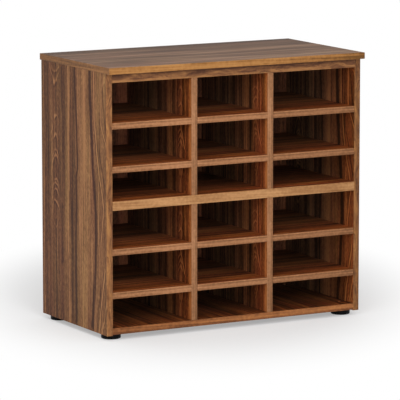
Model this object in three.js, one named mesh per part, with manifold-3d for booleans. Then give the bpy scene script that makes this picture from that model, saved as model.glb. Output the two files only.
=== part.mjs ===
// Pigeonhole mail sorter: a low cabinet of walnut-faced board with three columns and six rows of open compartments.
// Millimetres. X runs to the right, Y to the back and Z up. The origin is on the floor, under the middle of the top.

import * as THREE from 'three';
import { mergeVertices } from 'three/addons/utils/BufferGeometryUtils.js';
import Module from 'manifold-3d';

// Top panel
const TOP_WIDTH = 800;
const TOP_THICKNESS = 18;
const TOP_SIDE_OVERHANG = 1;
const TOP_FRONT_OVERHANG = 21;
const TOP_BACK_OVERHANG = 7;

// Carcass: two sides with an inner top, a middle shelf and a bottom between them
const SIDE_THICKNESS = 18;
const SIDE_DEPTH = 392;
const INNER_TOP_THICKNESS = 25;
const MIDDLE_SHELF_THICKNESS = 25;
const BOTTOM_THICKNESS = 18;
const BOTTOM_RECESS = 2; // the bottom's underside above the sides' lower edges
const UPPER_BAY_HEIGHT = 322; // clear height above the middle shelf
const LOWER_BAY_HEIGHT = 322; // clear height below it

// Back panel, let into a groove in each side
const BACK_THICKNESS = 8;
const BACK_SETBACK = 5; // from the sides' rear edges
const BACK_TONGUE = 6; // how far it reaches into each side
const GROOVE_CLEARANCE = 0.3;

// Dividers and short shelves: the right column and the top row take what is left over
const DIVIDER_THICKNESS = 18;
const SHELF_THICKNESS = 18;
const INSERT_INSET = 2; // their front edges behind the sides' front edges
const LEFT_COLUMN_CLEAR = 244;
const CENTRE_COLUMN_CLEAR = 221;
const UPPER_BOTTOM_ROW_CLEAR = 77;
const LOWER_BOTTOM_ROW_CLEAR = 80;
const MIDDLE_ROW_CLEAR = 100.5;

// Edge bands glued to the boards' visible edges
const BAND_THICKNESS = 2;
const BAND_ROUNDING = 1.5;
const ROUNDING_STEPS = 3;

// Dowels, each glued into the end of one board and entering the face of the next
const DOWEL_DIAMETER = 8;
const DOWEL_CLEARANCE = 0.3;
const DOWEL_COVER = 5; // board left behind a blind hole
const DOWEL_WEB = 3; // board left between two holes that meet from both faces
const DOWEL_EDGE_DISTANCE = 60; // from the boards' front and back edges
const DOWEL_ROOT = 1; // overlap that joins a dowel to its own board
const DOWEL_SIDES = 8;

// Levelling feet
const FOOT_HEIGHT = 14; // the sides' lower edges above the floor
const FOOT_SIDE_INSET = 34; // from the sides' outer faces to the foot's axis
const FOOT_FRONT_INSET = 44; // from the sides' front edges
const FOOT_BACK_INSET = 40; // from the sides' rear edges
const GLIDE_DIAMETER = 54;
const GLIDE_TREAD_DIAMETER = 44; // flat face on the floor
const GLIDE_BULGE_HEIGHT = 6; // height of the rounded lower edge
const GLIDE_RIM_ROUNDING = 1.5;
const GLIDE_RIM_CLEARANCE = 1; // below the sides' lower edges
const GLIDE_HUB_DIAMETER = 18;
const GLIDE_FLOOR = 4; // plastic under the stud
const STUD_DIAMETER = 10;
const STUD_COLLAR_DIAMETER = 14;
const STUD_COLLAR_HEIGHT = 4;
const STUD_CHAMFER = 1;
const STUD_TOP_RECESS = 2; // below the bottom panel's upper face
const HEX_KEY_SIZE = 5;
const HEX_DEPTH = 4;
const SOCKET_DIAMETER = 15;
const SOCKET_FLANGE_DIAMETER = 22;
const SOCKET_FLANGE_THICKNESS = 1.5;
const SOCKET_TOP_RECESS = 3; // below the bottom panel's upper face
const FOOT_CLEARANCE = 0.3; // between the pieces of a foot
const ROUND_SIDES = 32;
const STUD_SIDES = 24;

// A cut starts this far outside the face that it opens
const CUT_MARGIN = 1;

// Heights, from the floor
const sideBottom = FOOT_HEIGHT;
const bottomUnderside = sideBottom + BOTTOM_RECESS;
const lowerBayFloor = bottomUnderside + BOTTOM_THICKNESS;
const lowerBayCeiling = lowerBayFloor + LOWER_BAY_HEIGHT;
const upperBayFloor = lowerBayCeiling + MIDDLE_SHELF_THICKNESS;
const upperBayCeiling = upperBayFloor + UPPER_BAY_HEIGHT;
const topUnderside = upperBayCeiling + INNER_TOP_THICKNESS;

// Widths, from the middle
const sideOuter = TOP_WIDTH / 2 - TOP_SIDE_OVERHANG;
const sideInner = sideOuter - SIDE_THICKNESS;
const leftDividerLeft = -sideInner + LEFT_COLUMN_CLEAR;
const leftDividerRight = leftDividerLeft + DIVIDER_THICKNESS;
const rightDividerLeft = leftDividerRight + CENTRE_COLUMN_CLEAR;
const rightDividerRight = rightDividerLeft + DIVIDER_THICKNESS;

// Depths, from the middle of the top
const topDepth = TOP_FRONT_OVERHANG + SIDE_DEPTH + TOP_BACK_OVERHANG;
const topFront = -topDepth / 2;
const topBack = topFront + topDepth;
const sideFront = topFront + TOP_FRONT_OVERHANG;
const sideBack = sideFront + SIDE_DEPTH;
const backPanelBack = sideBack - BACK_SETBACK;
const backPanelFront = backPanelBack - BACK_THICKNESS;
const insertFront = sideFront + INSERT_INSET;

const walnutFace = new THREE.MeshStandardMaterial({ color: 0x5c3d2c, roughness: 0.55, metalness: 0 });
const walnutBand = new THREE.MeshStandardMaterial({ color: 0xa57a50, roughness: 0.5, metalness: 0 });
const blackPlastic = new THREE.MeshStandardMaterial({ color: 0x141414, roughness: 0.45, metalness: 0 });
const zincSteel = new THREE.MeshStandardMaterial({ color: 0xb4b6b8, roughness: 0.35, metalness: 1 });

const wasm = await Module();
wasm.setup();

function toSolid(geometry) {
  const bare = geometry.clone();
  bare.deleteAttribute('normal');
  bare.deleteAttribute('uv');
  const merged = mergeVertices(bare);
  const vertProperties = merged.attributes.position.array;
  const triVerts = new Uint32Array(merged.index.array);
  return new wasm.Manifold(new wasm.Mesh({ numProp: 3, vertProperties, triVerts }));
}

function toGeometry(solid) {
  const mesh = solid.getMesh();
  const geometry = new THREE.BufferGeometry();
  geometry.setAttribute('position', new THREE.BufferAttribute(mesh.vertProperties, 3));
  geometry.setIndex(new THREE.BufferAttribute(mesh.triVerts, 1));
  geometry.computeVertexNormals();
  return geometry;
}

// A box between two corners
function boxGeometry(low, high) {
  const size = high.clone().sub(low);
  const centre = low.clone().add(high).multiplyScalar(0.5);
  return new THREE.BoxGeometry(size.x, size.y, size.z).translate(centre.x, centre.y, centre.z);
}

// A round bar that starts before a point by lead and ends after it by reach, along a direction
function barGeometry(point, direction, lead, reach, radius, sides) {
  const bar = new THREE.CylinderGeometry(radius, radius, lead + reach, sides);
  bar.translate(0, (reach - lead) / 2, 0);
  const turn = new THREE.Quaternion().setFromUnitVectors(new THREE.Vector3(0, 1, 0), direction);
  return bar.applyQuaternion(turn).translate(point.x, point.y, point.z);
}

// A turned piece with its axis along Z, from points of radius and height
function turnedGeometry(profile, sides) {
  return new THREE.LatheGeometry(profile, sides).rotateX(Math.PI / 2);
}

function vector(x, y, z) {
  return new THREE.Vector3(x, y, z);
}

const LEFT = vector(-1, 0, 0);
const RIGHT = vector(1, 0, 0);
const UP = vector(0, 0, 1);
const DOWN = vector(0, 0, -1);

// The boards by name, with their corners and whatever is cut out of them
const boards = new Map();
// The edge bands by name, with their place, length, height of section and turn
const bands = [];
// The dowels, each with the board that it is glued into and the board that it enters
const dowels = [];

function layBoard(name, low, high) {
  boards.set(name, { low, high, cuts: [] });
}

function layBand(name, place, length, height, turn) {
  bands.push({ name, place, length, height, turn });
}

// A level board with a band along its front edge, given by its outer corners
function layLevelBoard(name, low, high) {
  layBoard(name, vector(low.x, low.y + BAND_THICKNESS, low.z), high);
  layBand(`${name}_band`, low, high.x - low.x, high.z - low.z, new THREE.Euler());
}

// An upright board with a band along its front edge: the band is a level one stood on its end
function layUprightBoard(name, low, high) {
  layBoard(name, vector(low.x, low.y + BAND_THICKNESS, low.z), high);
  const place = vector(high.x, low.y, low.z);
  layBand(`${name}_band`, place, high.z - low.z, high.x - low.x, new THREE.Euler(0, -Math.PI / 2, 0));
}

// A row of dowels, front to back, from the end of one board into the face of another
function joinByDowels(from, into, x, z, depths, direction, reach) {
  for (const depth of depths) {
    dowels.push({ from, into, point: vector(x, depth, z), direction, reach });
  }
}

// How far a dowel enters a board from one face only, and a board that takes dowels from both faces
const blindReach = (thickness) => thickness - DOWEL_COVER - DOWEL_CLEARANCE;
const sharedReach = (thickness) => (thickness - DOWEL_WEB) / 2 - DOWEL_CLEARANCE;

const frontDowel = sideFront + DOWEL_EDGE_DISTANCE;
const rearDowel = backPanelFront - DOWEL_EDGE_DISTANCE;
const twoDowels = [frontDowel, rearDowel];
const threeDowels = [frontDowel, (frontDowel + rearDowel) / 2, rearDowel];

// Top panel, with the front and back bands running over the ends of the side bands
function layTop() {
  const front = topFront + BAND_THICKNESS;
  const back = topBack - BAND_THICKNESS;
  const reach = TOP_WIDTH / 2;
  const inner = reach - BAND_THICKNESS;
  const quarter = Math.PI / 2;
  layBoard('top_panel', vector(-inner, front, topUnderside), vector(inner, back, topUnderside + TOP_THICKNESS));
  const across = [
    ['top_front_band', vector(-reach, topFront, topUnderside), 0],
    ['top_back_band', vector(reach, topBack, topUnderside), 2 * quarter],
  ];
  for (const [name, place, turn] of across) {
    layBand(name, place, TOP_WIDTH, TOP_THICKNESS, new THREE.Euler(0, 0, turn));
  }
  const along = [
    ['top_left_band', vector(-reach, back, topUnderside), -quarter],
    ['top_right_band', vector(reach, front, topUnderside), quarter],
  ];
  for (const [name, place, turn] of along) {
    layBand(name, place, back - front, TOP_THICKNESS, new THREE.Euler(0, 0, turn));
  }
}

function layCarcass() {
  layUprightBoard(
    'left_side',
    vector(-sideOuter, sideFront, sideBottom),
    vector(-sideInner, sideBack, topUnderside),
  );
  layUprightBoard(
    'right_side',
    vector(sideInner, sideFront, sideBottom),
    vector(sideOuter, sideBack, topUnderside),
  );
  const sideMiddle = (sideOuter + sideInner) / 2;
  for (const [side, middle] of [['left_side', -sideMiddle], ['right_side', sideMiddle]]) {
    joinByDowels(side, 'top_panel', middle, topUnderside, threeDowels, UP, blindReach(TOP_THICKNESS));
  }
  const levels = [
    ['inner_top', upperBayCeiling, INNER_TOP_THICKNESS],
    ['middle_shelf', lowerBayCeiling, MIDDLE_SHELF_THICKNESS],
    ['bottom_panel', bottomUnderside, BOTTOM_THICKNESS],
  ];
  for (const [name, underside, thickness] of levels) {
    const low = vector(-sideInner, sideFront, underside);
    const high = vector(sideInner, backPanelFront, underside + thickness);
    layLevelBoard(name, low, high);
    const middle = underside + thickness / 2;
    const reach = blindReach(SIDE_THICKNESS);
    joinByDowels(name, 'left_side', -sideInner, middle, threeDowels, LEFT, reach);
    joinByDowels(name, 'right_side', sideInner, middle, threeDowels, RIGHT, reach);
  }
}

// The back panel and the groove that each side has for it
function layBack() {
  const tongue = sideInner + BACK_TONGUE;
  const groove = tongue + GROOVE_CLEARANCE;
  const low = vector(-tongue, backPanelFront, bottomUnderside);
  const high = vector(tongue, backPanelBack, topUnderside);
  layBoard('back_panel', low, high);
  const grooveFront = backPanelFront - GROOVE_CLEARANCE;
  const grooveBack = backPanelBack + GROOVE_CLEARANCE;
  const grooveLow = vector(-groove, grooveFront, sideBottom - CUT_MARGIN);
  const grooveHigh = vector(groove, grooveBack, topUnderside + CUT_MARGIN);
  const cut = boxGeometry(grooveLow, grooveHigh);
  for (const side of ['left_side', 'right_side']) {
    boards.get(side).cuts.push(cut);
  }
}

// Two dividers and six short shelves in one bay
function layInsert(half, bay) {
  const dividerSpots = [
    ['left', leftDividerLeft, leftDividerRight],
    ['right', rightDividerLeft, rightDividerRight],
  ];
  for (const [side, left, right] of dividerSpots) {
    const name = `${half}_${side}_divider`;
    layUprightBoard(name, vector(left, insertFront, bay.floor), vector(right, backPanelFront, bay.ceiling));
    const middle = (left + right) / 2;
    const reach = sharedReach(MIDDLE_SHELF_THICKNESS);
    joinByDowels(name, bay.floorBoard, middle, bay.floor, twoDowels, DOWN, reach);
    joinByDowels(name, bay.ceilingBoard, middle, bay.ceiling, twoDowels, UP, reach);
  }
  const columns = [
    ['left', -sideInner, leftDividerLeft, 'left_side', `${half}_left_divider`],
    ['centre', leftDividerRight, rightDividerLeft, `${half}_left_divider`, `${half}_right_divider`],
    ['right', rightDividerRight, sideInner, `${half}_right_divider`, 'right_side'],
  ];
  const lowShelf = bay.floor + bay.bottomRowClear;
  const highShelf = lowShelf + SHELF_THICKNESS + MIDDLE_ROW_CLEAR;
  for (const [column, left, right, leftBoard, rightBoard] of columns) {
    for (const [level, underside] of [['low', lowShelf], ['high', highShelf]]) {
      const name = `${half}_${column}_shelf_${level}`;
      const low = vector(left, insertFront, underside);
      const high = vector(right, backPanelFront, underside + SHELF_THICKNESS);
      layLevelBoard(name, low, high);
      const middle = underside + SHELF_THICKNESS / 2;
      const reach = sharedReach(DIVIDER_THICKNESS);
      joinByDowels(name, leftBoard, left, middle, twoDowels, LEFT, reach);
      joinByDowels(name, rightBoard, right, middle, twoDowels, RIGHT, reach);
    }
  }
}

// Each foot's name and the place of its axis
const feet = [];
for (const [end, depth] of [['front', sideFront + FOOT_FRONT_INSET], ['back', sideBack - FOOT_BACK_INSET]]) {
  for (const [side, sign] of [['left', -1], ['right', 1]]) {
    feet.push({ name: `${end}_${side}`, x: sign * (sideOuter - FOOT_SIDE_INSET), y: depth });
  }
}

// The hole that each foot's socket stands in
function cutSocketHoles() {
  const radius = SOCKET_DIAMETER / 2 + FOOT_CLEARANCE;
  for (const foot of feet) {
    const start = vector(foot.x, foot.y, bottomUnderside);
    const reach = BOTTOM_THICKNESS + CUT_MARGIN;
    boards.get('bottom_panel').cuts.push(barGeometry(start, UP, CUT_MARGIN, reach, radius, STUD_SIDES));
  }
}

layTop();
layCarcass();
layBack();
layInsert('upper', {
  floor: upperBayFloor,
  ceiling: upperBayCeiling,
  floorBoard: 'middle_shelf',
  ceilingBoard: 'inner_top',
  bottomRowClear: UPPER_BOTTOM_ROW_CLEAR,
});
layInsert('lower', {
  floor: lowerBayFloor,
  ceiling: lowerBayCeiling,
  floorBoard: 'bottom_panel',
  ceilingBoard: 'middle_shelf',
  bottomRowClear: LOWER_BOTTOM_ROW_CLEAR,
});
cutSocketHoles();

// A board with its own dowels added, and its neighbours' dowel holes and its other cuts taken out
function makeBoard(name, { low, high, cuts }) {
  const radius = DOWEL_DIAMETER / 2;
  let solid = toSolid(boxGeometry(low, high));
  for (const cut of cuts) {
    solid = solid.subtract(toSolid(cut));
  }
  for (const { from, into, point, direction, reach } of dowels) {
    if (from === name) {
      solid = solid.add(toSolid(barGeometry(point, direction, DOWEL_ROOT, reach, radius, DOWEL_SIDES)));
    }
    if (into === name) {
      const holeReach = reach + DOWEL_CLEARANCE;
      const holeRadius = radius + DOWEL_CLEARANCE;
      const hole = barGeometry(point, direction, CUT_MARGIN, holeReach, holeRadius, DOWEL_SIDES);
      solid = solid.subtract(toSolid(hole));
    }
  }
  const board = new THREE.Mesh(toGeometry(solid).translate(-low.x, -low.y, -low.z), walnutFace);
  board.name = name;
  board.position.copy(low);
  return board;
}

// A band along X: its section has a rounded corner at both ends of its visible face, which looks to -Y
function makeBand({ name, place, length, height, turn }) {
  const round = Math.min(BAND_ROUNDING, BAND_THICKNESS, height / 2);
  const section = new THREE.Shape();
  section.moveTo(BAND_THICKNESS, 0);
  section.lineTo(BAND_THICKNESS, height);
  section.lineTo(round, height);
  section.absarc(round, height - round, round, Math.PI / 2, Math.PI, false);
  section.lineTo(0, round);
  section.absarc(round, round, round, Math.PI, 1.5 * Math.PI, false);
  const settings = { depth: length, bevelEnabled: false, curveSegments: ROUNDING_STEPS };
  const geometry = new THREE.ExtrudeGeometry(section, settings);
  const alongX = new THREE.Matrix4().makeBasis(vector(0, 1, 0), UP, RIGHT);
  const band = new THREE.Mesh(geometry.applyMatrix4(alongX), walnutBand);
  band.name = name;
  band.position.copy(place);
  band.rotation.copy(turn);
  return band;
}

// Points of radius and height along a quarter of an ellipse between two angles
function arcPoints(centreRadius, centreHeight, radiusSpan, heightSpan, startAngle, endAngle) {
  const curve = new THREE.EllipseCurve(
    centreRadius, centreHeight, radiusSpan, heightSpan, startAngle, endAngle, endAngle < startAngle,
  );
  return curve.getPoints(ROUNDING_STEPS);
}

const studHoleRadius = STUD_DIAMETER / 2 + FOOT_CLEARANCE;
const collarTop = GLIDE_FLOOR + STUD_COLLAR_HEIGHT;
const pocketTop = collarTop + FOOT_CLEARANCE;
const socketUnderside = bottomUnderside - SOCKET_FLANGE_THICKNESS;
const hubTop = socketUnderside - FOOT_CLEARANCE;

// The plastic glide: a bulged disc with a hub, hollowed for the stud and its collar
function makeGlide() {
  const rim = GLIDE_DIAMETER / 2;
  const tread = GLIDE_TREAD_DIAMETER / 2;
  const rimTop = sideBottom - GLIDE_RIM_CLEARANCE;
  const pocket = STUD_COLLAR_DIAMETER / 2 + FOOT_CLEARANCE;
  const bulge = arcPoints(tread, GLIDE_BULGE_HEIGHT, rim - tread, GLIDE_BULGE_HEIGHT, -Math.PI / 2, 0);
  const shoulder = arcPoints(
    rim - GLIDE_RIM_ROUNDING, rimTop - GLIDE_RIM_ROUNDING, GLIDE_RIM_ROUNDING, GLIDE_RIM_ROUNDING, 0, Math.PI / 2,
  );
  const profile = [
    new THREE.Vector2(0, 0),
    ...bulge,
    ...shoulder,
    new THREE.Vector2(GLIDE_HUB_DIAMETER / 2, rimTop),
    new THREE.Vector2(GLIDE_HUB_DIAMETER / 2, hubTop),
    new THREE.Vector2(studHoleRadius, hubTop),
    new THREE.Vector2(studHoleRadius, pocketTop),
    new THREE.Vector2(pocket, pocketTop),
    new THREE.Vector2(pocket, GLIDE_FLOOR),
    new THREE.Vector2(0, GLIDE_FLOOR),
  ];
  return new THREE.Mesh(turnedGeometry(profile, ROUND_SIDES), blackPlastic);
}

// The stud: a collar that the glide holds, a shank, and a hexagon socket in its upper end
function makeStud() {
  const radius = STUD_DIAMETER / 2;
  const studTop = lowerBayFloor - STUD_TOP_RECESS;
  const profile = [
    new THREE.Vector2(0, GLIDE_FLOOR),
    new THREE.Vector2(STUD_COLLAR_DIAMETER / 2, GLIDE_FLOOR),
    new THREE.Vector2(STUD_COLLAR_DIAMETER / 2, collarTop),
    new THREE.Vector2(radius, collarTop),
    new THREE.Vector2(radius, studTop - STUD_CHAMFER),
    new THREE.Vector2(radius - STUD_CHAMFER, studTop),
    new THREE.Vector2(0, studTop),
  ];
  const hexRadius = HEX_KEY_SIZE / Math.sqrt(3);
  const hex = barGeometry(vector(0, 0, studTop), DOWN, CUT_MARGIN, HEX_DEPTH, hexRadius, 6);
  const solid = toSolid(turnedGeometry(profile, STUD_SIDES)).subtract(toSolid(hex));
  return new THREE.Mesh(toGeometry(solid), zincSteel);
}

// The socket: a flanged sleeve in the bottom panel, which the stud screws through
function makeSocket() {
  const sleeve = SOCKET_DIAMETER / 2;
  const flange = SOCKET_FLANGE_DIAMETER / 2;
  const sleeveTop = lowerBayFloor - SOCKET_TOP_RECESS;
  const profile = [
    new THREE.Vector2(studHoleRadius, socketUnderside),
    new THREE.Vector2(flange, socketUnderside),
    new THREE.Vector2(flange, bottomUnderside),
    new THREE.Vector2(sleeve, bottomUnderside),
    new THREE.Vector2(sleeve, sleeveTop),
    new THREE.Vector2(studHoleRadius, sleeveTop),
    new THREE.Vector2(studHoleRadius, socketUnderside),
  ];
  return new THREE.Mesh(turnedGeometry(profile, STUD_SIDES), zincSteel);
}

function makeFoot({ name, x, y }) {
  const foot = new THREE.Group();
  foot.position.set(x, y, 0);
  const pieces = { glide: makeGlide(), stud: makeStud(), socket: makeSocket() };
  for (const [piece, mesh] of Object.entries(pieces)) {
    mesh.name = `${name}_${piece}`;
    foot.add(mesh);
  }
  return foot;
}

const sorter = new THREE.Group();
for (const [name, board] of boards) {
  sorter.add(makeBoard(name, board));
}
for (const band of bands) {
  sorter.add(makeBand(band));
}
for (const foot of feet) {
  sorter.add(makeFoot(foot));
}

export default sorter;
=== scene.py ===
"""Looks of a pigeonhole mail sorter: walnut decor on the boards, tan edge bands and black levelling feet."""

import math
from collections import namedtuple

import bmesh
import bpy
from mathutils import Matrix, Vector


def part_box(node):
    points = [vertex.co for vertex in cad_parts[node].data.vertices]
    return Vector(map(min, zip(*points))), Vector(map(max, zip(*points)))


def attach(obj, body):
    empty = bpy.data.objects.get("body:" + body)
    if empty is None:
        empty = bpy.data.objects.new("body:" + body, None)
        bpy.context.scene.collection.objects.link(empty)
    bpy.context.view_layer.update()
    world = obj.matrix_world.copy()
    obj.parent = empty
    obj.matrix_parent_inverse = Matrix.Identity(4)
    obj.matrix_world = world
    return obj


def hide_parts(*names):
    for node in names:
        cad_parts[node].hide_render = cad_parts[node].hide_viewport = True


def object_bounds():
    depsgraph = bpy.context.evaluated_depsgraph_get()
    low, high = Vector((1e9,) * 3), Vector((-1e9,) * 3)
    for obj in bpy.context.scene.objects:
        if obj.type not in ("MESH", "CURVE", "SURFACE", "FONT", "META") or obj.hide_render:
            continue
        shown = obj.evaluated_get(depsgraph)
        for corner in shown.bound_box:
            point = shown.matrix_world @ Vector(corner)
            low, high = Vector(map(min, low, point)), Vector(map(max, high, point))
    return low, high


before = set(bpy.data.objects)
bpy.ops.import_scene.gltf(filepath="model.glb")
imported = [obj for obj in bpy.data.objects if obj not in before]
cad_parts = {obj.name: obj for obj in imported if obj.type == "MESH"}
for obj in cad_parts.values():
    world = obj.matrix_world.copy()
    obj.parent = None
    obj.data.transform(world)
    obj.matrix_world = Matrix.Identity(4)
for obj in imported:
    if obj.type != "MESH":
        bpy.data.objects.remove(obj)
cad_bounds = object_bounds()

MM = 0.001
X, Y, Z = 0, 1, 2

# Camera: angles in degrees, lengths in metres, aim measured from the middle of the object
CAMERA_AZIMUTH = -28.923
CAMERA_ELEVATION = 8.906
CAMERA_DISTANCE = 9.2521
CAMERA_AIM_RIGHT = -0.00686
CAMERA_AIM_UP = -0.04069
CAMERA_LENS_MM = 297.8
CAMERA_SENSOR_MM = 36

# Lamps: azimuth and elevation in degrees, distance and sizes in metres, power in watts
Lamp = namedtuple("Lamp", "azimuth elevation distance width height power")
KEY = Lamp(azimuth=-42, elevation=40, distance=2.8, width=1.6, height=1.6, power=21)
HIGH_FILL = Lamp(azimuth=-12, elevation=25, distance=5.0, width=1.6, height=1.6, power=58)
LOW_FILL = Lamp(azimuth=-6, elevation=5, distance=6.0, width=1.2, height=0.8, power=40)
SURROUND_STRENGTH = 0.60

# Floor: how far it is lifted to white where it is seen, from an oval near the object to its rim; metres, degrees.
# Less lift inside the oval leaves a grey pool round the object: painted shadow, on top of the real shadow it keeps.
FLOOR_SIZE = 30
FLOOR_COLOUR = (244, 244, 244)
FLOOR_CENTRE = (0.148, 0.314, 0)
FLOOR_TURN = -28.9
FLOOR_HALF_SIZE = (0.748, 1.268, 1)
FLOOR_NEAR = 0.54
FLOOR_NEAR_LIFT = 0.357

# Walnut tones, from its darkest streaks to its lightest: outer faces, inner faces and the top.
# FACE_TONES are the wood's own colour. The inner tones of the dividers, sides, shelves, bottom and back are redder
# copies of it: painted bounced light and shade inside the bays.
# The deep tones are greyer, lighter copies that paint a haze of light at the back of the bays. The top's tones are
# greyer too, partly a painted sheen.
FACE_TONES = ((66, 37, 21), (104, 66, 39), (136, 93, 58), (170, 121, 77))
INNER_BOUNCE_TONES = ((62, 34, 18), (109, 58, 30), (150, 80, 40), (196, 118, 63))
SIDE_INNER_BOUNCE_TONES = ((57, 31, 16), (101, 54, 28), (139, 74, 37), (182, 109, 58))
SHELF_BOUNCE_TONES = ((46, 23, 12), (98, 49, 23), (136, 67, 30), (178, 102, 51))
DEEP_HAZE_TONES = ((70, 55, 46), (114, 86, 66), (149, 112, 84), (182, 134, 95))
SHELF_DEEP_HAZE_TONES = ((62, 43, 33), (103, 70, 48), (136, 92, 62), (168, 113, 74))
BOTTOM_BOUNCE_TONES = ((36, 18, 10), (77, 39, 19), (107, 53, 24), (140, 80, 40))
BACK_BOUNCE_TONES = ((77, 48, 33), (127, 76, 52), (157, 96, 65), (195, 126, 84))
# Top: the walnut's tones made greyer, partly a painted sheen of reflected white.
TOP_TONES_AND_SHEEN = ((74, 49, 31), (97, 68, 48), (117, 85, 62), (145, 111, 85))

# Edge bands, from dark to light
BAND_TONES = {
    "gold": ((105, 69, 31), (148, 100, 52), (170, 120, 67)),
    "tan": ((130, 88, 50), (161, 115, 73), (185, 137, 91)),
    "shelf": ((115, 75, 46), (157, 108, 72), (185, 130, 92)),
    "divider": ((95, 63, 38), (141, 97, 64), (171, 121, 85)),
    "brown": ((105, 62, 33), (147, 92, 52), (175, 114, 64)),
    "edge": ((94, 60, 38), (134, 89, 54), (162, 114, 67)),
    # Right side's band: darker than the left's, painted shade on the side the lamps light less.
    "shaded_far_edge": ((84, 51, 30), (120, 78, 44), (149, 101, 55)),
    "rail": ((84, 51, 33), (118, 77, 48), (155, 107, 64)),
    "shade": ((86, 54, 26), (130, 86, 46), (160, 110, 63)),
}

# How a band's tone drifts from its low end, 0, to its high end, 1
RAIL_DRIFT = (
    (0, 0.84), (0.05, 0.82), (0.13, 0.36), (0.21, 0.26), (0.29, 0.68), (0.38, 0.65), (0.46, 0.28), (0.54, 0.32),
    (0.63, 0.44), (0.71, 0.36), (0.79, 0.50), (0.88, 0.39), (1, 0.40),
)
EDGE_DRIFT = (
    (0, 0.62), (0.05, 0.60), (0.13, 0.42), (0.21, 0.47), (0.29, 0.50), (0.38, 0.42), (0.46, 0.50), (0.54, 0.64),
    (0.63, 0.50), (0.71, 0.44), (0.79, 0.67), (0.88, 0.55), (1, 0.62),
)
DIVIDER_DRIFT = ((0, 0.38), (0.19, 0.46), (0.31, 0.55), (0.56, 0.63), (0.69, 0.74), (0.81, 0.60), (1, 0.48))
SHELF_DRIFTS = {
    "left": ((0, 0.34), (0.2, 0.42), (0.4, 0.33), (0.7, 0.46), (1, 0.47)),
    "centre": ((0, 0.42), (0.4, 0.42), (0.8, 0.44), (1, 0.36)),
    "right": ((0, 0.26), (0.35, 0.25), (0.5, 0.15), (0.75, 0.11), (0.92, 0), (1, 0)),
}

# Tone across a band, as distance from its low edge in mm and tone about a middle of one half.
# These paint light and shade on the bands: the shelf bands' light line near the upper edge is a painted highlight among
# stripes of their grain;
# the divider bands are lighter at the left edge and darker at the right, painted highlight and shade; the bottom band
# is darker along its low edge, painted shade;
# the rail darkens towards its upper edge, painted shadow under the top's overhang.
SHELF_STRIPES_AND_HIGHLIGHT = (
    (0, 0.46), (3, 0.49), (6, 0.54), (8.5, 0.62), (10.5, 0.54), (12, 0.38), (14, 0.40), (16, 0.60), (18, 0.54),
)
DIVIDER_STRIPES_HIGHLIGHT_AND_SHADE = ((0, 0.64), (2, 0.54), (4, 0.44), (6, 0.50), (8, 0.60), (11, 0.50), (14, 0.44), (18, 0.42))
BOTTOM_STRIPES_AND_SHADE = ((0, 0.32), (4, 0.34), (7, 0.48), (9, 0.60), (11, 0.56), (14, 0.50), (18, 0.46))
RAIL_OVERHANG_SHADOW = ((0, 0.74), (4, 0.66), (8, 0.52), (17, 0.46), (20, 0.30), (25, 0.24))
STRIPE_AND_SHADE_GAIN = 2.0

# Streaks across a board, as distance from its front edge in mm and tone from dark, 0, to light, 1
SIDE_STREAKS = (
    (0, 0.53), (20, 0.56), (45, 0.62), (70, 0.58), (95, 0.57), (104, 0.66), (122, 0.68), (134, 0.92),
    (148, 0.70), (168, 0.62), (176, 0.42), (190, 0.40), (205, 0.32), (213, 0.40), (224, 0.78), (240, 0.56),
    (252, 0.40), (270, 0.34), (290, 0.38), (320, 0.32), (350, 0.26), (366, 0.44), (384, 0.46), (392, 0.36),
)
DIVIDER_STREAKS = (
    (0, 0.92), (14, 0.90), (20, 0.40), (26, 0.44), (34, 0.66), (62, 0.56), (86, 0.58), (94, 0.16),
    (101, 0.18), (107, 0.60), (126, 0.74), (140, 0.50), (147, 0.16), (155, 0.18), (164, 0.62), (176, 0.32),
    (212, 0.50), (240, 0.40), (249, 0.06), (258, 0.40), (300, 0.50), (340, 0.22), (377, 0.40),
)
# The dark stops near 196-217, 470-490 and 704-756 mm lie at the left end of the strip of back panel seen in each bay:
# painted shadow of the side and the dividers, among the panel's own streaks.
BACK_STREAKS_AND_SHADOWS = (
    (0, 0.40), (30, 0.30), (52, 0.52), (86, 0.44), (120, 0.56), (150, 0.40), (176, 0.30), (196, 0.06),
    (217, 0.04), (224, 0.36), (229, 0.46), (252, 0.44), (284, 0.34), (310, 0.50), (350, 0.42), (380, 0.28),
    (410, 0.46), (444, 0.36), (470, 0.22), (490, 0.24), (520, 0.44), (560, 0.52), (590, 0.40), (640, 0.48),
    (680, 0.34), (704, 0.06), (735, 0.00), (741, 0.10), (756, 0.12), (764, 0.24), (774, 0.30),
)
SHELF_STREAKS = (
    (0, 0.58), (15, 0.60), (27, 0.58), (40, 0.55), (52, 0.47), (65, 0.42), (78, 0.44), (90, 0.41),
    (103, 0.41), (115, 0.49), (128, 0.51), (150, 0.44), (180, 0.50), (220, 0.42), (376, 0.45),
)
TOP_STREAKS = (
    (0, 0.76), (30, 0.80), (80, 0.66), (104, 0.54), (138, 0.68), (160, 0.48), (180, 0.36), (200, 0.58),
    (234, 0.80), (250, 0.74), (266, 0.50), (290, 0.20), (314, 0.36), (334, 0.46), (362, 0.32), (386, 0.10),
    (420, 0.10),
)

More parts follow.
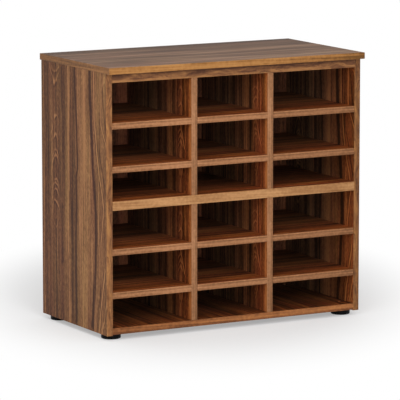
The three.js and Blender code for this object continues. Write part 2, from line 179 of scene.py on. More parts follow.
# Veins: how light, 0 to 1, or how dark, 0 to -1, how wide in mm, and a path of points in mm below the board's
# upper edge and from its front edge
Vein = namedtuple("Vein", "tone width path")
SIDE_VEINS = (
    Vein(0.85, 8, ((20, 73), (135, 71), (190, 61), (225, 57), (270, 48), (310, 36), (342, 25), (390, 14))),
    Vein(0.70, 8, ((0, 34), (150, 33), (162, 27), (185, 14), (205, 2))),
    Vein(0.60, 7, ((350, 46), (475, 46))),
    Vein(0.65, 7, ((370, 14), (420, 22), (475, 32))),
    Vein(0.85, 8, ((550, 10), (610, 23), (668, 36), (714, 42))),
    Vein(0.70, 7, ((640, 2), (680, 12), (714, 24))),
    Vein(-0.40, 8, ((60, 22), (120, 12), (160, 4))),
    Vein(-0.40, 9, ((230, 40), (290, 20), (340, 6))),
    Vein(-0.40, 8, ((600, 34), (660, 48), (714, 54))),
    Vein(-0.75, 11, ((0, 187), (90, 183), (180, 174), (288, 171), (315, 180), (400, 178), (490, 183), (714, 181))),
    Vein(-0.75, 20, ((0, 95), (90, 93), (180, 86), (270, 79), (340, 70), (400, 63), (470, 61), (605, 72), (714, 84))),
    Vein(-0.45, 6, ((30, 265), (135, 266))),
    Vein(-0.34, 24, ((406, 266), (560, 262))),
    Vein(-0.30, 16, ((400, 204), (714, 203))),
    Vein(0.45, 7, ((0, 226), (160, 224), (350, 222))),
    Vein(0.45, 8, ((0, 376), (714, 376))),
)
DIVIDER_VEINS = (
    Vein(1.00, 8, ((146, 64), (176, 51), (208, 40))),
    Vein(0.75, 7, ((250, 48), (275, 52), (300, 62))),
    Vein(0.65, 5, ((30, 30), (100, 34))),
    Vein(-0.40, 7, ((0, 47), (120, 44), (322, 36))),
)

# Arches: nested lines on one axis, in mm: its distance from the front edge, half the width, how far a leg falls
# over that half width, the apexes below the board's upper edge, and how strong the lines are
Arches = namedtuple("Arches", "distance half_width drop apexes tone")
SIDE_ARCHES = (
    Arches(304, 44, 140, (160, 212, 250, 265, 329, 343, 366, 400), 0.85),
    Arches(306, 46, -90, (44, 68), 0.65),
    Arches(304, 26, -80, (446, 470), 0.60),
    Arches(9, 34, 45, (690, 704), 0.60),
    Arches(10, 28, 65, (32, 46), 0.60),
)
DIVIDER_ARCHES = (
    Arches(64, 28, 80, (44, 82, 152, 172, 190), 0.85),
    Arches(66, 27, -70, (276, 292), 0.70),
)

# Fine marks: waves per metre along the grain, across it and through the board, and their strength
FLECKS = (110, 260, 60)
TOP_FLECKS = (3.5, 52, 30)
BAND_FLECKS = (120, 130, 60)
FLECK_GAIN = 0.9
TOP_FLECK_GAIN = 1.7
HUE_SWING = 0.035
VEIN_END = 0.02
RIPPLE_REACH = 2.0
RIPPLE_TURN = 1.9

# Where inner faces pass from their inside tones to the deep ones, a painted haze of light at the back of the bays, as
# mm from front to back about the middle
DEEP_START = -150
DEEP_END = 60

# Feet, in mm: the sizes of the glide, the stud and its thread
GLIDE_RADIUS = 27
GLIDE_TREAD_RADIUS = 25
GLIDE_BULGE_HEIGHT = 3
GLIDE_RIM_TOP = 13
GLIDE_RIM_ROUNDING = 1.5
GLIDE_HUB_RADIUS = 9
GLIDE_HUB_TOP = 14.2
GLIDE_FLOOR = 4
GLIDE_POCKET_RADIUS = 7.3
GLIDE_POCKET_TOP = 8.3
GLIDE_HOLE_RADIUS = 5.3
TREAD_GROOVES = (11, 16)
TREAD_GROOVE_DEPTH = 0.6
STUD_RADIUS = 5
STUD_COLLAR_RADIUS = 7
STUD_COLLAR_BOTTOM = 4.1
STUD_COLLAR_TOP = 8
STUD_TOP = 32
STUD_CHAMFER = 1
THREAD_PITCH = 1.5
THREAD_DEPTH = 0.8
THREAD_STEPS = 6
HEX_RADIUS = 5 / math.sqrt(3)
HEX_DEPTH = 4
ROUND_STEPS = 96
STUD_STEPS = 48
ARC_STEPS = 8


def linear(colour):
    """A colour of 0 to 255 per channel as linear light, with full alpha."""
    shares = (channel / 255 for channel in colour)
    return tuple(s / 12.92 if s <= 0.04045 else ((s + 0.055) / 1.055) ** 2.4 for s in shares) + (1.0,)


def tone_stops(tones):
    """Colours spread evenly from 0 to 1."""
    last = len(tones) - 1
    return [(index / last, linear(tone)) for index, tone in enumerate(tones)]


class Graph:
    """The node tree of one material, with a short call for each kind of node."""

    def __init__(self, name):
        self.material = bpy.data.materials.new(name)
        self.material.use_nodes = True
        self.nodes = self.material.node_tree.nodes
        self.links = self.material.node_tree.links
        self.shader = self.nodes["Principled BSDF"]

    def feed(self, socket, value):
        if isinstance(value, bpy.types.NodeSocket):
            self.links.new(value, socket)
        else:
            socket.default_value = value

    def math(self, operation, first, second=0.0, clamp=False):
        node = self.nodes.new("ShaderNodeMath")
        node.operation = operation
        node.use_clamp = clamp
        self.feed(node.inputs[0], first)
        self.feed(node.inputs[1], second)
        return node.outputs[0]

    def vector_math(self, operation, first, second, third=(0, 0, 0)):
        node = self.nodes.new("ShaderNodeVectorMath")
        node.operation = operation
        for socket, value in zip(node.inputs, (first, second, third)):
            self.feed(socket, value)
        return node.outputs[0]

    def combine(self, x, y, z):
        node = self.nodes.new("ShaderNodeCombineXYZ")
        for socket, value in zip(node.inputs, (x, y, z)):
            self.feed(socket, value)
        return node.outputs[0]

    def separate(self, vector):
        node = self.nodes.new("ShaderNodeSeparateXYZ")
        self.feed(node.inputs[0], vector)
        return node.outputs

    def place(self):
        return self.nodes.new("ShaderNodeTexCoord").outputs["Object"]

    def board_place(self, low, along, across):
        """A point as its distance along the grain, across it and through the board, from the board's corner."""
        through = 3 - along - across
        axes = self.separate(self.vector_math("SUBTRACT", self.place(), low))
        return self.combine(axes[along], axes[across], axes[through])

    def noise(self, place, stretch, seed, detail=2.0):
        """Noise of a point, with its waves per metre along each axis."""
        node = self.nodes.new("ShaderNodeTexNoise")
        scaled = self.vector_math("MULTIPLY_ADD", place, stretch, (seed, 2.3 * seed, 5.1 * seed))
        self.feed(node.inputs["Vector"], scaled)
        node.inputs["Scale"].default_value = 1
        node.inputs["Detail"].default_value = detail
        return node.outputs["Fac"]

    def line_noise(self, value, seed):
        """Noise along one line."""
        node = self.nodes.new("ShaderNodeTexNoise")
        node.noise_dimensions = "1D"
        self.feed(node.inputs["W"], self.math("ADD", value, seed))
        node.inputs["Scale"].default_value = 1
        node.inputs["Detail"].default_value = 2
        return node.outputs["Fac"]

    def swing(self, noise, gain):
        """Noise moved to lie around zero, times a gain."""
        return self.math("MULTIPLY", self.math("SUBTRACT", noise, 0.5), gain)

    def total(self, *terms):
        result = terms[0]
        for term in terms[1:]:
            result = self.math("ADD", result, term)
        return result

    def ramp(self, value, stops):
        """A colour by value: the stops are places from 0 to 1 with colours in linear light."""
        node = self.nodes.new("ShaderNodeValToRGB")
        elements = node.color_ramp.elements
        while len(elements) < len(stops):
            elements.new(0.5)
        for element, (place, colour) in zip(elements, stops):
            element.position = place
            element.color = colour
        self.feed(node.inputs["Fac"], value)
        return node.outputs["Color"]

    def tone_line(self, value, stops):
        """A tone by value, from stops of place and tone."""
        return self.math("ADD", self.ramp(value, [(place, (tone, tone, tone, 1)) for place, tone in stops]), 0.0)

    def mix(self, share, first, second):
        """A colour between two others."""
        node = self.nodes.new("ShaderNodeMix")
        node.data_type = "RGBA"
        self.feed(node.inputs["Factor"], share)
        colours = [socket for socket in node.inputs if socket.type == "RGBA"]
        self.feed(colours[0], first)
        self.feed(colours[1], second)
        return next(socket for socket in node.outputs if socket.type == "RGBA")

    def turn_hue(self, colour, shift):
        """A colour with its hue turned by a part of a full turn."""
        node = self.nodes.new("ShaderNodeHueSaturation")
        self.feed(node.inputs["Hue"], self.math("ADD", 0.5, shift))
        self.feed(node.inputs["Color"], colour)
        return node.outputs["Color"]

    def bump(self, height, depth):
        node = self.nodes.new("ShaderNodeBump")
        node.inputs["Strength"].default_value = 1
        node.inputs["Distance"].default_value = depth
        self.feed(node.inputs["Height"], height)
        self.feed(self.shader.inputs["Normal"], node.outputs["Normal"])

    def finish(self, colour, roughness, specular):
        self.feed(self.shader.inputs["Base Color"], colour)
        self.feed(self.shader.inputs["Roughness"], roughness)
        self.shader.inputs["Specular IOR Level"].default_value = specular
        return self.material


def vein_line(graph, below_share, across, place, height, depth, vein, seed):
    """A dark streak along a path over the board, or a light line between two soft dark ones."""
    stops = [(below * MM / height, distance * MM / depth) for below, distance in vein.path]
    where = graph.math("MULTIPLY", graph.tone_line(below_share, stops), depth)
    aside = graph.math("DIVIDE", graph.math("SUBTRACT", across, where), vein.width / 2 * MM)
    square = graph.math("MULTIPLY", aside, aside)
    if vein.tone < 0:
        line = graph.math("SUBTRACT", 1.0, square, clamp=True)
    else:
        window = graph.math("SUBTRACT", 1.0, graph.math("DIVIDE", square, RIPPLE_REACH ** 2), clamp=True)
        ripple = graph.math("COSINE", graph.math("MULTIPLY", aside, RIPPLE_TURN))
        worn = graph.math("ADD", graph.swing(graph.noise(place, (11, 30, 12), seed), 2.2), 0.95, clamp=True)
        line = graph.math("MULTIPLY", graph.math("MULTIPLY", window, ripple), worn)
    first, last = vein.path[0][0] * MM / height, vein.path[-1][0] * MM / height
    ends = graph.tone_line(below_share, [(first - VEIN_END, 0), (first, 1), (last, 1), (last + VEIN_END, 0)])
    return graph.math("MULTIPLY", graph.math("MULTIPLY", line, ends), vein.tone)


def arch_stops(apexes, height):
    """Stops of a line at each apex, light above and dark below, on a middle of one half."""
    stops = []
    for apex in apexes:
        for offset, tone in ((-8, 0.5), (0, 1.0), (6, 0.3), (12, 0.5)):
            place = (apex + offset) * MM / height
            while stops and stops[-1][0] >= place:
                stops.pop()
            stops.append((place, tone))
    return stops


def arch_lines(graph, below, across, place, height, arches, seed):
    """Nested arches, or with a leg that rises, nested cups."""
    spread = graph.math("DIVIDE", graph.math("SUBTRACT", across, arches.distance * MM), arches.half_width * MM)
    square = graph.math("MULTIPLY", spread, spread)
    level = graph.total(
        graph.math("SUBTRACT", below, graph.math("MULTIPLY", square, arches.drop * MM)),
        graph.swing(graph.noise(place, (14, 24, 12), seed), 0.07),
    )
    line = graph.swing(graph.tone_line(graph.math("DIVIDE", level, height), arch_stops(arches.apexes, height)), 2.0)
    fade = graph.math("SUBTRACT", 1.0, square, clamp=True)
    worn = graph.math("ADD", graph.swing(graph.noise(place, (16, 40, 12), seed + 1), 2.6), 0.75, clamp=True)
    strength = graph.math("MULTIPLY", graph.math("MULTIPLY", fade, worn), arches.tone)
    return graph.math("MULTIPLY", line, strength)


def grain_lines(graph, place, stretch, seed, width):
    """Thin lines along the grain, one wherever a slow noise crosses its middle."""
    level = graph.noise(place, stretch, seed)
    aside = graph.math("ABSOLUTE", graph.math("SUBTRACT", level, 0.5))
    return graph.math("SUBTRACT", 1.0, graph.math("DIVIDE", aside, width), clamp=True)


def walnut(name, along, across, seed, tones, streaks=(), veins=(), arches=(), outer_tones=None, deep_haze_tones=None,
           gloss=0.12, broad_gain=2.0, line_gain=1.0, fleck_waves=FLECKS, fleck_gain=FLECK_GAIN):
    """A board's face: broad streaks, rings, fine lines and pores that run along the grain. Deep tones paint a haze of
    light towards the back of the bays, and where outer tones are given, the inner faces keep their redder painted-shade
    tones.
    """
    low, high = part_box(name)
    graph = Graph(f"walnut_{name}")
    still = graph.board_place(low, along, across)
    along_place, across_place, _ = graph.separate(still)
    shift = graph.total(
        graph.swing(graph.noise(still, (3, 6, 3), seed), 0.012),
        graph.swing(graph.noise(still, (16, 60, 20), seed + 7), 0.004),
    )
    place = graph.vector_math("ADD", still, graph.combine(0.0, shift, 0.0))
    height = high[along] - low[along]
    below = graph.math("SUBTRACT", height, along_place)
    below_share = graph.math("DIVIDE", below, height)
    ragged = graph.math("ADD", across_place, graph.swing(graph.noise(still, (16, 60, 20), seed + 7), 0.006))
    marks = []
    for number, vein in enumerate(veins):
        marks.append(vein_line(
            graph, below_share, ragged, still, height, high[across] - low[across], vein, seed + 21 + number,
        ))
    for number, group in enumerate(arches):
        marks.append(arch_lines(graph, below, ragged, still, height, group, seed + 11 + number))
    if streaks:
        depth = high[across] - low[across]
        share = graph.math("DIVIDE", graph.separate(place)[1], depth)
        broad = graph.tone_line(share, [(mm * MM / depth, tone) for mm, tone in streaks])
        cloud = graph.swing(graph.noise(place, (4, 22, 9), seed + 1), 0.7)
        broad = graph.math("ADD", broad, cloud)
    else:
        broad = graph.total(0.45, graph.swing(graph.noise(place, (0.9, 26, 9), seed + 1), broad_gain))
    dark_lines = grain_lines(graph, place, (0.9, 42, 12), seed + 5, 0.03)
    light_lines = grain_lines(graph, place, (1.4, 36, 12), seed + 6, 0.025)
    parts = [
        broad,
        graph.swing(graph.noise(place, (1.6, 110, 25), seed + 2), 1.1 * line_gain),
        graph.swing(graph.noise(place, (5, 420, 60), seed + 3), 0.8 * line_gain),
        graph.math("MULTIPLY", dark_lines, -0.20 * line_gain),
        graph.math("MULTIPLY", light_lines, 0.16 * line_gain),
    ]
    tone = graph.total(*parts, *marks)
    pores = graph.noise(place, (70, 2600, 400), seed + 4)
    flecks = graph.swing(graph.noise(place, fleck_waves, seed + 8), fleck_gain)
    pored = graph.total(tone, flecks, graph.swing(pores, 0.2))
    colour = graph.ramp(pored, tone_stops(tones))
    # Painted light: towards the back of the bays the colour passes to the greyer, lighter deep tones.
    if deep_haze_tones:
        inward = graph.math("ADD", graph.separate(graph.place())[Y], -DEEP_START * MM)
        depth_share = graph.math("DIVIDE", inward, (DEEP_END - DEEP_START) * MM, clamp=True)
        colour = graph.mix(depth_share, colour, graph.ramp(pored, tone_stops(deep_haze_tones)))
    # Painted shade: outside faces take the wood's own outer tones, inside faces keep the redder inside tones.
    if outer_tones:
        through = 3 - along - across
        middle = abs(low[through] + high[through]) / 2
        out = graph.math("GREATER_THAN", graph.math("ABSOLUTE", graph.separate(graph.place())[through]), middle)
        colour = graph.mix(out, colour, graph.ramp(pored, tone_stops(outer_tones)))
    colour = graph.turn_hue(colour, graph.swing(graph.noise(place, (2.2, 40, 12), seed + 9), HUE_SWING))
    roughness = graph.math("ADD", 0.52, graph.swing(pores, 0.2))
    graph.bump(graph.math("ADD", tone, pores), 0.06 * MM)
    return graph.finish(colour, roughness, gloss)


def band(name, along, across, tones, seed, flame=False, drift=((0, 0.5), (1, 0.5)), stripes_and_shade=(), figure=1.0):
    """An edge band: thin lines along its length, or flames, on a tone that drifts from one end to the other, and where
    given, a tone across it that paints highlights and shade along its edges.
    """
    low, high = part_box(name)
    graph = Graph(f"band_{name}")
    still = graph.board_place(low, along, across)
    along_place, across_place, _ = graph.separate(still)
    length = high[along] - low[along]
    broad = graph.tone_line(graph.math("DIVIDE", along_place, length), drift)
    # Painted highlight and shade: the tone across the band lightens or darkens it along its edges.
    if stripes_and_shade:
        width = high[across] - low[across]
        share = graph.math("DIVIDE", across_place, width)
        stripe_and_shade_tone = graph.tone_line(share, [(mm * MM / width, tone) for mm, tone in stripes_and_shade])
        broad = graph.math("ADD", broad, graph.swing(stripe_and_shade_tone, STRIPE_AND_SHADE_GAIN))
    if flame:
        lick = graph.swing(graph.noise(still, (7, 18, 9), seed + 5), 0.16)
        curl = graph.swing(graph.noise(still, (11, 30, 9), seed + 6), 0.05)
        place = graph.vector_math("ADD", still, graph.combine(lick, curl, 0.0))
        pattern = [
            graph.swing(graph.noise(place, (11, 70, 20), seed), 2.3),
            graph.swing(graph.noise(place, (20, 300, 30), seed + 1), 1.5),
        ]
    else:
        slope = graph.math("MULTIPLY", along_place, 0.02)
        place = graph.combine(along_place, graph.math("ADD", across_place, slope), 0.0)
        pattern = [
            graph.swing(graph.noise(place, (5, 12, 10), seed + 2), 1.2 * figure),
            graph.swing(graph.noise(place, (4, 150, 30), seed), 1.5 * figure),
            graph.swing(graph.noise(place, (9, 620, 60), seed + 1), 1.1),
        ]
    flecks = graph.swing(graph.noise(place, BAND_FLECKS, seed + 8), FLECK_GAIN)
    tone = graph.total(broad, flecks, *pattern)
    pores = graph.noise(place, (90, 2600, 400), seed + 4)
    colour = graph.ramp(graph.math("ADD", tone, graph.swing(pores, 0.2)), tone_stops(tones))
    roughness = graph.math("ADD", 0.48, graph.swing(pores, 0.15))
    graph.bump(graph.math("ADD", tone, pores), 0.05 * MM)
    return graph.finish(colour, roughness, 0.15)


def dress(name, material):
    """Gives a CAD node its material."""
    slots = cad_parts[name].data.materials
    slots.clear()
    slots.append(material)


def dress_boards():
    dress("top_panel", walnut("top_panel", X, Y, 3.1, TOP_TONES_AND_SHEEN, TOP_STREAKS, gloss=0.05,
                              fleck_waves=TOP_FLECKS, fleck_gain=TOP_FLECK_GAIN))
    side_walnut = walnut("left_side", Z, Y, 1.7, SIDE_INNER_BOUNCE_TONES, SIDE_STREAKS, SIDE_VEINS, SIDE_ARCHES, FACE_TONES,
                         DEEP_HAZE_TONES, gloss=0.10)
    for side in ("left_side", "right_side"):
        dress(side, side_walnut)
    for number, level in enumerate(("inner_top", "middle_shelf")):
        dress(level, walnut(level, X, Y, 8.3 + number, SHELF_BOUNCE_TONES, SHELF_STREAKS, deep_haze_tones=SHELF_DEEP_HAZE_TONES,
                            line_gain=1.9))
    dress("bottom_panel", walnut("bottom_panel", Y, X, 12.9, BOTTOM_BOUNCE_TONES, deep_haze_tones=SHELF_DEEP_HAZE_TONES, broad_gain=0.8, line_gain=2.0))
    dress("back_panel", walnut("back_panel", Z, X, 15.2, BACK_BOUNCE_TONES, BACK_STREAKS_AND_SHADOWS, outer_tones=FACE_TONES, line_gain=0.6))
    for half in ("upper", "lower"):
        divider_walnut = walnut(f"{half}_left_divider", Z, Y, 21.5, INNER_BOUNCE_TONES, DIVIDER_STREAKS, DIVIDER_VEINS,
                                DIVIDER_ARCHES, deep_haze_tones=DEEP_HAZE_TONES, line_gain=1.4)
        for side in ("left", "right"):
            dress(f"{half}_{side}_divider", divider_walnut)
        for column_number, column in enumerate(("left", "centre", "right")):
            for level in ("low", "high"):
                name = f"{half}_{column}_shelf_{level}"
                dress(name, walnut(
                    name, X, Y, 31.4 + 2.7 * column_number, SHELF_BOUNCE_TONES, SHELF_STREAKS,
                    deep_haze_tones=SHELF_DEEP_HAZE_TONES, line_gain=1.9,
                ))


def dress_bands():
    level_bands = {
        "top_front_band": ("gold", (
            (0, 0.50), (0.06, 0.70), (0.13, 0.79), (0.21, 0.72), (0.29, 0.55), (0.46, 0.50), (0.54, 0.56), (0.63, 0.80),
            (0.71, 0.75), (0.79, 0.38), (0.88, 0.14), (1, 0.02),
        )),
        "top_back_band": ("gold", ((0, 0.5), (1, 0.5))),
        "middle_shelf_band": ("tan", ((0, 0.60), (0.28, 0.72), (0.42, 0.50), (0.6, 0.56), (0.8, 0.42), (1, 0.68))),
        "bottom_panel_band": ("brown", (
            (0, 0.08), (0.38, 0.27), (0.46, 0.42), (0.62, 0.56), (0.71, 0.77), (0.79, 0.71), (0.88, 0.57), (1, 0.44),
        )),
    }
    seed = 50.0
    for name, (tones, drift) in level_bands.items():
        seed += 1.7
        stripes_and_shade = BOTTOM_STRIPES_AND_SHADE if name == "bottom_panel_band" else ()
        dress(name, band(name, X, Z, BAND_TONES[tones], seed, drift=drift, stripes_and_shade=stripes_and_shade))
    dress("inner_top_band", band(
        "inner_top_band", X, Z, BAND_TONES["rail"], 61.3, flame=True, drift=RAIL_DRIFT, stripes_and_shade=RAIL_OVERHANG_SHADOW,
    ))
    for name in ("top_left_band", "top_right_band"):
        seed += 1.7
        dress(name, band(name, Y, Z, BAND_TONES["shade"], seed))
    for name, tones in (("left_side_band", "edge"), ("right_side_band", "shaded_far_edge")):
        dress(name, band(name, Z, X, BAND_TONES[tones], 66.2, flame=True, drift=EDGE_DRIFT))
    for half in ("upper", "lower"):
        for side in ("left", "right"):
            name = f"{half}_{side}_divider_band"
            dress(name, band(
                name, Z, X, BAND_TONES["divider"], 71.8, drift=DIVIDER_DRIFT, stripes_and_shade=DIVIDER_STRIPES_HIGHLIGHT_AND_SHADE, figure=0.5,
            ))
        for number, (column, drift) in enumerate(SHELF_DRIFTS.items()):
            for height in ("low", "high"):
                name = f"{half}_{column}_shelf_{height}_band"
                dress(name, band(
                    name, X, Z, BAND_TONES["shelf"], 81.4 + number, drift=drift, stripes_and_shade=SHELF_STRIPES_AND_HIGHLIGHT, figure=0.4,
                ))


def black_plastic():
    graph = Graph("black_plastic")
    grain = graph.noise(graph.place(), (900, 900, 900), 2.0)
    colour = graph.ramp(grain, tone_stops(((3, 3, 3), (8, 8, 9))))
    roughness = graph.math("ADD", 0.45, graph.swing(grain, 0.2))
    graph.bump(grain, 0.03 * MM)
    return graph.finish(colour, roughness, 0.08)


def zinc_steel():
    graph = Graph("zinc_steel")
    grain = graph.noise(graph.place(), (300, 300, 1500), 4.0)
    colour = graph.ramp(grain, tone_stops(((150, 152, 154), (190, 192, 194))))
    roughness = graph.math("ADD", 0.34, graph.swing(grain, 0.2))
    graph.bump(grain, 0.01 * MM)
    graph.shader.inputs["Metallic"].default_value = 1
    return graph.finish(colour, roughness, 0.5)


def arc(radius, height, radius_span, height_span, start, end):
    """Points of radius and height along an ellipse between two angles in degrees."""
    points = []
    for step in range(ARC_STEPS + 1):
        angle = math.radians(start + (end - start) * step / ARC_STEPS)
        points.append((radius + radius_span * math.cos(angle), height + height_span * math.sin(angle)))
    return points


def surface(rings):
    """A closed mesh through rings of points, each ring as long as the next, with its first and last ring filled."""
    mesh = bmesh.new()
    rows = [[mesh.verts.new(Vector(point) * MM) for point in ring] for ring in rings]
    for lower, upper in zip(rows, rows[1:]):
        for index, vertex in enumerate(lower):
            after = (index + 1) % len(lower)
            mesh.faces.new((vertex, lower[after], upper[after], upper[index]))
    mesh.faces.new(list(reversed(rows[0])))
    mesh.faces.new(rows[-1])
    bmesh.ops.recalc_face_normals(mesh, faces=mesh.faces)
    return mesh


def circle(radius, height, steps):
    angles = [2 * math.pi * step / steps for step in range(steps)]
    return [(radius * math.cos(angle), radius * math.sin(angle), height) for angle in angles]


def hexagon(radius, height, steps):
    """Points along a hexagon, as many as on a circle of so many steps."""
    points = []
    for step in range(steps):
        angle = 2 * math.pi * step / steps
        from_middle = angle % (math.pi / 3) - math.pi / 6
        reach = radius * math.cos(math.pi / 6) / math.cos(from_middle)
        points.append((reach * math.cos(angle), reach * math.sin(angle), height))
    return points


def glide_rings():
    profile = [(1.5, 0.4), (2.5, 0)]
    for radius in TREAD_GROOVES:
        profile += [(radius - 0.8, 0), (radius - 0.4, TREAD_GROOVE_DEPTH), (radius + 0.4, TREAD_GROOVE_DEPTH), (radius + 0.8, 0)]
    bulge_span = GLIDE_RADIUS - GLIDE_TREAD_RADIUS
    profile += arc(GLIDE_TREAD_RADIUS, GLIDE_BULGE_HEIGHT, bulge_span, GLIDE_BULGE_HEIGHT, -90, 0)
    shoulder = GLIDE_RIM_TOP - GLIDE_RIM_ROUNDING
    profile += arc(GLIDE_RADIUS - GLIDE_RIM_ROUNDING, shoulder, GLIDE_RIM_ROUNDING, GLIDE_RIM_ROUNDING, 0, 90)
    profile += [
        (GLIDE_HUB_RADIUS + 0.6, GLIDE_RIM_TOP), (GLIDE_HUB_RADIUS, GLIDE_RIM_TOP + 0.4),
        (GLIDE_HUB_RADIUS, GLIDE_HUB_TOP - 0.4), (GLIDE_HUB_RADIUS - 0.4, GLIDE_HUB_TOP),
        (GLIDE_HOLE_RADIUS, GLIDE_HUB_TOP), (GLIDE_HOLE_RADIUS, GLIDE_POCKET_TOP),
        (GLIDE_POCKET_RADIUS, GLIDE_POCKET_TOP), (GLIDE_POCKET_RADIUS, GLIDE_FLOOR),
        (1.5, GLIDE_FLOOR),
    ]
    return [circle(radius, height, ROUND_STEPS) for radius, height in profile]


def thread_ring(height, depth):
    """A ring of the shank, with its thread cut in by as much as the depth."""
    ring = []
    for step in range(STUD_STEPS):
        turn = step / STUD_STEPS
        phase = (height / THREAD_PITCH - turn) % 1
        radius = STUD_RADIUS - depth * abs(2 * phase - 1)
        angle = 2 * math.pi * turn
        ring.append((radius * math.cos(angle), radius * math.sin(angle), height))
    return ring


def stud_rings():
    collar_edge = 0.5
    rings = [
        circle(STUD_COLLAR_RADIUS - collar_edge, STUD_COLLAR_BOTTOM, STUD_STEPS),
        circle(STUD_COLLAR_RADIUS, STUD_COLLAR_BOTTOM + collar_edge, STUD_STEPS),
        circle(STUD_COLLAR_RADIUS, STUD_COLLAR_TOP - collar_edge, STUD_STEPS),
        circle(STUD_COLLAR_RADIUS - collar_edge, STUD_COLLAR_TOP, STUD_STEPS),
        circle(STUD_RADIUS - THREAD_DEPTH, STUD_COLLAR_TOP, STUD_STEPS),
    ]
    start = STUD_COLLAR_TOP + THREAD_PITCH / 2
    end = STUD_TOP - STUD_CHAMFER
    count = round((end - start) / THREAD_PITCH * THREAD_STEPS)
    for step in range(count + 1):
        rings.append(thread_ring(start + (end - start) * step / count, THREAD_DEPTH))
    rings += [
        circle(STUD_RADIUS - STUD_CHAMFER, STUD_TOP, STUD_STEPS),
        hexagon(HEX_RADIUS, STUD_TOP, STUD_STEPS),
        hexagon(HEX_RADIUS, STUD_TOP - HEX_DEPTH, STUD_STEPS),
    ]
    return rings


def foot_piece(name, rings, material):
    """A turned piece that stands for a foot's CAD node, on the same axis."""
    mesh = surface(rings)
    data = bpy.data.meshes.new(f"turned_{name}")
    mesh.to_mesh(data)
    mesh.free()
    for face in data.polygons:
        face.use_smooth = True
    data.set_sharp_from_angle(angle=math.radians(35))
    data.materials.append(material)
    piece = bpy.data.objects.new(f"turned_{name}", data)
    bpy.context.scene.collection.objects.link(piece)
    low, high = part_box(name)
    piece.location = ((low[X] + high[X]) / 2, (low[Y] + high[Y]) / 2, 0)
    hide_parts(name)
    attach(piece, name)


def dress_feet():
    plastic = black_plastic()
    zinc = zinc_steel()
    for end in ("front", "back"):
        for side in ("left", "right"):
            foot_piece(f"{end}_{side}_glide", glide_rings(), plastic)
            foot_piece(f"{end}_{side}_stud", stud_rings(), zinc)
            dress(f"{end}_{side}_socket", zinc)


def seen_rays(nodes, links):
    """One where a surface is seen by the camera, in a reflection or through glass."""
    rays = nodes.new("ShaderNodeLightPath")
    result = rays.outputs["Is Camera Ray"]
    for kind in ("Is Glossy Ray", "Is Transmission Ray"):
        either = nodes.new("ShaderNodeMath")
        either.operation = "MAXIMUM"
        links.new(result, either.inputs[0])
        links.new(rays.outputs[kind], either.inputs[1])
        result = either.outputs[0]
    return result


def floor_material():
    """Pale floor, lifted to white where it is seen far off and less so in an oval round the object, so that the real
    soft shadow is kept near the object under a painted grey shadow pool.
    """
    material = bpy.data.materials.new("pale_floor")
    material.use_nodes = True
    nodes = material.node_tree.nodes
    links = material.node_tree.links
    nodes.clear()
    matte = nodes.new("ShaderNodeBsdfDiffuse")
    matte.inputs["Color"].default_value = linear(FLOOR_COLOUR)
    glow = nodes.new("ShaderNodeEmission")
    clear = nodes.new("ShaderNodeBsdfTransparent")
    shape = nodes.new("ShaderNodeNewGeometry")
    # Painted shadow: inside this oval round the object the floor is lifted less, so it stays grey there besides keeping
    # its real shadow.
    painted_pool = nodes.new("ShaderNodeMapping")
    painted_pool.vector_type = "TEXTURE"
    painted_pool.inputs["Location"].default_value = FLOOR_CENTRE
    painted_pool.inputs["Rotation"].default_value = (0, 0, math.radians(FLOOR_TURN))
    painted_pool.inputs["Scale"].default_value = FLOOR_HALF_SIZE
    links.new(shape.outputs["Position"], painted_pool.inputs["Vector"])
    distance = nodes.new("ShaderNodeVectorMath")
    distance.operation = "LENGTH"
    links.new(painted_pool.outputs["Vector"], distance.inputs[0])
    fade = nodes.new("ShaderNodeMapRange")
    fade.interpolation_type = "SMOOTHSTEP"
    for socket, value in zip(("From Min", "From Max", "To Min", "To Max"), (FLOOR_NEAR, 1, FLOOR_NEAR_LIFT, 1)):
        fade.inputs[socket].default_value = value
    links.new(distance.outputs["Value"], fade.inputs["Value"])
    lift = nodes.new("ShaderNodeMath")
    lift.operation = "MULTIPLY"
    links.new(seen_rays(nodes, links), lift.inputs[0])
    links.new(fade.outputs["Result"], lift.inputs[1])
    lit = nodes.new("ShaderNodeMixShader")
    links.new(lift.outputs[0], lit.inputs["Fac"])
    links.new(matte.outputs[0], lit.inputs[1])
    links.new(glow.outputs[0], lit.inputs[2])
    one_sided = nodes.new("ShaderNodeMixShader")
    links.new(shape.outputs["Backfacing"], one_sided.inputs["Fac"])
    links.new(lit.outputs[0], one_sided.inputs[1])
    links.new(clear.outputs[0], one_sided.inputs[2])
    output = nodes.new("ShaderNodeOutputMaterial")
    links.new(one_sided.outputs[0], output.inputs["Surface"])
    return material


def make_floor():
    mesh = bpy.data.meshes.new("floor")
    reach = FLOOR_SIZE / 2
    corners = [(-reach, -reach, 0), (reach, -reach, 0), (reach, reach, 0), (-reach, reach, 0)]
    mesh.from_pydata(corners, [], [(0, 1, 2, 3)])
    floor = bpy.data.objects.new("floor", mesh)
    bpy.context.scene.collection.objects.link(floor)
    mesh.materials.append(floor_material())


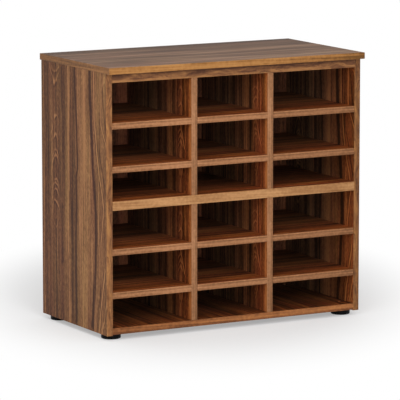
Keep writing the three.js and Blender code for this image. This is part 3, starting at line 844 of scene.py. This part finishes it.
def make_surround():
    """An even white surround, pure white where it is seen directly or mirrored."""
    world = bpy.data.worlds.new("surround")
    bpy.context.scene.world = world
    world.use_nodes = True
    nodes = world.node_tree.nodes
    links = world.node_tree.links
    strength = nodes.new("ShaderNodeMix")
    strength.inputs["A"].default_value = SURROUND_STRENGTH
    strength.inputs["B"].default_value = 1
    links.new(seen_rays(nodes, links), strength.inputs["Factor"])
    background = nodes["Background"]
    background.inputs["Color"].default_value = (1, 1, 1, 1)
    links.new(strength.outputs["Result"], background.inputs["Strength"])


def direction(azimuth, elevation):
    """The way from the object towards a viewer at these angles in degrees."""
    azimuth = math.radians(azimuth)
    elevation = math.radians(elevation)
    level = math.cos(elevation)
    return Vector((math.sin(azimuth) * level, -math.cos(azimuth) * level, math.sin(elevation)))


def make_lamp(name, lamp):
    data = bpy.data.lights.new(name, "AREA")
    data.shape = "RECTANGLE"
    data.size = lamp.width
    data.size_y = lamp.height
    data.energy = lamp.power
    piece = bpy.data.objects.new(name, data)
    bpy.context.scene.collection.objects.link(piece)
    back = direction(lamp.azimuth, lamp.elevation)
    piece.location = (cad_bounds[0] + cad_bounds[1]) / 2 + back * lamp.distance
    piece.rotation_euler = back.to_track_quat("Z", "Y").to_euler()


def make_camera():
    data = bpy.data.cameras.new("camera")
    data.sensor_width = CAMERA_SENSOR_MM
    data.lens = CAMERA_LENS_MM
    camera = bpy.data.objects.new("camera", data)
    bpy.context.scene.collection.objects.link(camera)
    back = direction(CAMERA_AZIMUTH, CAMERA_ELEVATION)
    right = Vector((0, 0, 1)).cross(back).normalized()
    up = back.cross(right)
    middle = (cad_bounds[0] + cad_bounds[1]) / 2
    aim = middle + right * CAMERA_AIM_RIGHT + up * CAMERA_AIM_UP
    camera.location = aim + back * CAMERA_DISTANCE
    camera.rotation_euler = back.to_track_quat("Z", "Y").to_euler()
    bpy.context.scene.camera = camera


dress_boards()
dress_bands()
dress_feet()
make_floor()
make_surround()
make_lamp("key", KEY)
make_lamp("high_fill", HIGH_FILL)
make_lamp("low_fill", LOW_FILL)
make_camera()
bpy.context.scene.view_settings.view_transform = "Standard"
